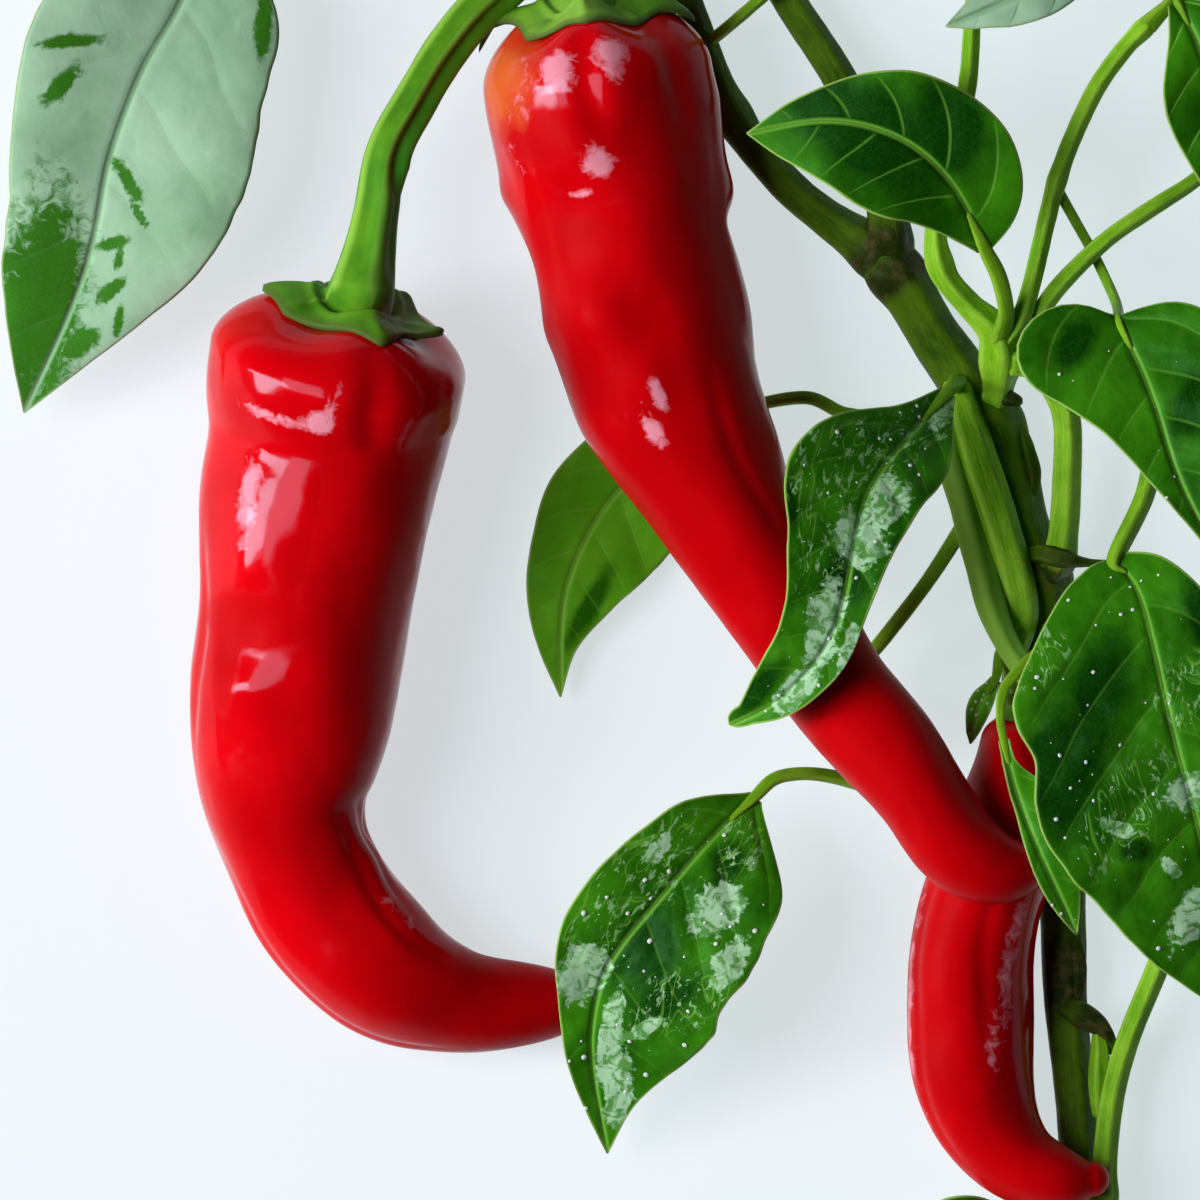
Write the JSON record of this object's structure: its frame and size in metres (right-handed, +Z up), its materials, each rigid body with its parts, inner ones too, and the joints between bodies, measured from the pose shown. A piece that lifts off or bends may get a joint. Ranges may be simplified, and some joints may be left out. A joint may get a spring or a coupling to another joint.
{
  "type": "chilli pepper branch",
  "caption": "Cut fruiting branch of a chilli pepper plant lying on a surface, with forked stems, glossy leaves and long curved red fruits under green caps.",
  "frame": {"origin": "under the middle of the plan box, on the surface that the branch lies on", "axes": "+Z up from the surface, +Y towards the growing tips, +X to the right seen from above"},
  "size_m": [0.1761, 0.2193, 0.0373],
  "materials": {
    "fruit_skin": "smooth wet-looking gloss",
    "calyx_green": "satin, ribbed lengthwise",
    "old_stem": "satin, ridged, part woody",
    "young_shoot": "satin, ridged, tender",
    "leaf_dark": "waxy gloss, wet in places",
    "leaf_young": "waxy gloss",
    "leaf_pale": "waxy gloss with pale sheen"
  },
  "bodies": {
    "root": {"main_stem": "old_stem", "left_bough": "old_stem", "right_bough": "old_stem", "bough_twig": "young_shoot", "upper_shoot": "young_shoot", "curved_shoot": "young_shoot", "right_shoot": "young_shoot", "pale_shoot": "young_shoot", "front_strand": "young_shoot", "lower_shoot": "young_shoot", "fruit_left": "fruit_skin", "fruit_middle": "fruit_skin", "fruit_right": "fruit_skin", "calyx_left": "calyx_green", "calyx_middle": "calyx_green", "calyx_right": "calyx_green", "leaf_front_middle": "leaf_dark", "leaf_low_centre": "leaf_dark", "leaf_over_fork": "leaf_dark", "leaf_top_right": "leaf_dark", "leaf_right": "leaf_dark", "leaf_big_right": "leaf_dark", "leaf_lower_right": "leaf_dark", "leaf_bottom": "leaf_dark", "leaf_right_shoot": "leaf_dark", "leaf_right_bough": "leaf_dark", "leaf_behind_middle": "leaf_young", "leaf_narrow": "leaf_young", "leaf_by_stem": "leaf_young", "leaf_under_middle": "leaf_young", "leaf_left_bough": "leaf_young", "leaf_top_left": "leaf_pale", "leaf_top": "leaf_pale"}
  },
  "joints": []
}
